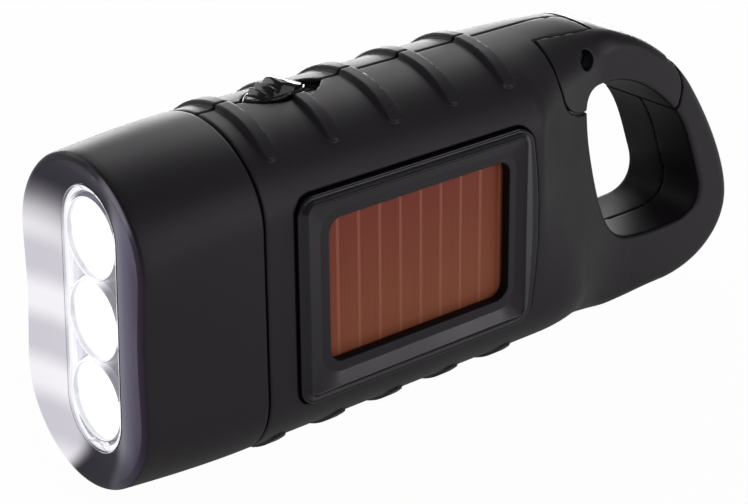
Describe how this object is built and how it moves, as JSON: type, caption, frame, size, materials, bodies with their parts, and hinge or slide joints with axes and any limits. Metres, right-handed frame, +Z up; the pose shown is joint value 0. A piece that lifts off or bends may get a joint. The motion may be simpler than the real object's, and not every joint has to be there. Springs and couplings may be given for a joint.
{
  "type": "hand crank flashlight",
  "caption": "Black hand crank flashlight: lamps in a deep oval reflector, solar panel on one side, folding crank on the other and a spring-gate carry loop behind.",
  "frame": {"origin": "middle of the bounding box in X and Y, on the plane that the lower ribs stand on", "axes": "+X from the lamp face to the carry loop, +Y towards the crank, +Z up"},
  "size_m": [0.1348, 0.0428, 0.058],
  "materials": {
    "shell_plastic": "fine spark texture, matt black",
    "gate_plastic": "smooth satin black",
    "bezel_plastic": "semi-gloss black",
    "gloss_black": "polished black",
    "solar_film": "dark brown thin-film cell under clear resin",
    "foam": "plain black foam",
    "clear_lens": "clear polished",
    "chrome_reflector": "vacuum-metallised mirror",
    "led_resin": "clear resin, lit white",
    "circuit_board": "green solder mask",
    "steel": "zinc-plated steel",
    "white_acetal": "natural acetal",
    "copper_wire": "enamelled copper winding",
    "ferrite": "sintered ferrite",
    "battery_sleeve": "green shrink sleeve",
    "brass": "turned brass"
  },
  "bodies": {
    "torch": {"head_shell": "shell_plastic", "lens": "clear_lens", "reflector": "chrome_reflector", "led_1": "led_resin", "led_2": "led_resin", "led_3": "led_resin", "led_board": "circuit_board", "right_shell": "shell_plastic", "left_shell": "shell_plastic", "solar_bezel": "bezel_plastic", "solar_cell": "solar_film", "solar_pad": "foam", "switch_body": "steel", "case_screw_1": "steel", "case_screw_2": "steel", "case_screw_3": "steel", "case_screw_4": "steel", "case_screw_5": "steel", "main_board": "circuit_board", "cell_pack": "battery_sleeve", "gear_2_axle": "steel", "gear_3_axle": "steel", "gear_plate": "shell_plastic", "plate_screw_1": "steel", "plate_screw_2": "steel", "plate_screw_3": "steel", "stator_can": "steel", "coil": "copper_wire", "crank_bush": "brass", "gate_pin": "steel", "gate_spring": "steel"},
    "crank": {"crank_gear": "white_acetal", "crank_shaft": "white_acetal", "crank_arm": "shell_plastic", "arm_screw": "steel", "knob_hinge_pin": "steel"},
    "second_gear": {"gear_2": "white_acetal"},
    "third_gear": {"gear_3": "white_acetal"},
    "rotor": {"rotor_magnet": "ferrite", "rotor_shaft": "steel", "rotor_pinion": "brass"},
    "knob_fork": {"knob_spindle": "shell_plastic"},
    "knob_grip": {"knob": "gate_plastic"},
    "slide": {"switch_knob": "gloss_black", "switch_lever": "steel"},
    "gate": {"gate": "gate_plastic"}
  },
  "joints": [
    {"name": "crank_turn", "type": "hinge", "parent": "torch", "child": "crank", "pos_m": [-0.015, 0.01255, 0.02805], "axis": [0, 1, 0], "continuous": true},
    {"name": "second_gear_turn", "type": "hinge", "parent": "torch", "child": "second_gear", "pos_m": [-0.03177, 0.00425, 0.03416], "axis": [0, 1, 0], "continuous": true},
    {"name": "third_gear_turn", "type": "hinge", "parent": "torch", "child": "third_gear", "pos_m": [-0.03408, 0.00225, 0.02106], "axis": [0, 1, 0], "continuous": true},
    {"name": "rotor_turn", "type": "hinge", "parent": "torch", "child": "rotor", "pos_m": [-0.0245, -0.00375, 0.01757], "axis": [0, 1, 0], "continuous": true},
    {"name": "knob_fold", "type": "hinge", "parent": "crank", "child": "knob_fork", "pos_m": [0.023, 0.01755, 0.02805], "axis": [0, 0, -1], "range_deg": [0, 90]},
    {"name": "knob_spin", "type": "hinge", "parent": "knob_fork", "child": "knob_grip", "pos_m": [0.011, 0.01755, 0.02805], "axis": [1, 0, 0], "continuous": true},
    {"name": "switch_slide", "type": "slide", "parent": "torch", "child": "slide", "axis": [1, 0, 0], "range_m": [0, 0.0024]},
    {"name": "gate_open", "type": "hinge", "parent": "torch", "child": "gate", "pos_m": [0.0282, -0.00375, 0.04985], "axis": [0, 1, 0], "range_deg": [0, 26], "stiffness_Nm_per_rad": 0.02, "springref_deg": -22.92, "deforming": ["gate_spring"]}
  ],
  "couplings": [
    {"joint": "second_gear_turn", "follows": "crank_turn", "ratio": -3.2},
    {"joint": "third_gear_turn", "follows": "crank_turn", "ratio": 8.96},
    {"joint": "rotor_turn", "follows": "crank_turn", "ratio": -21.504}
  ]
}
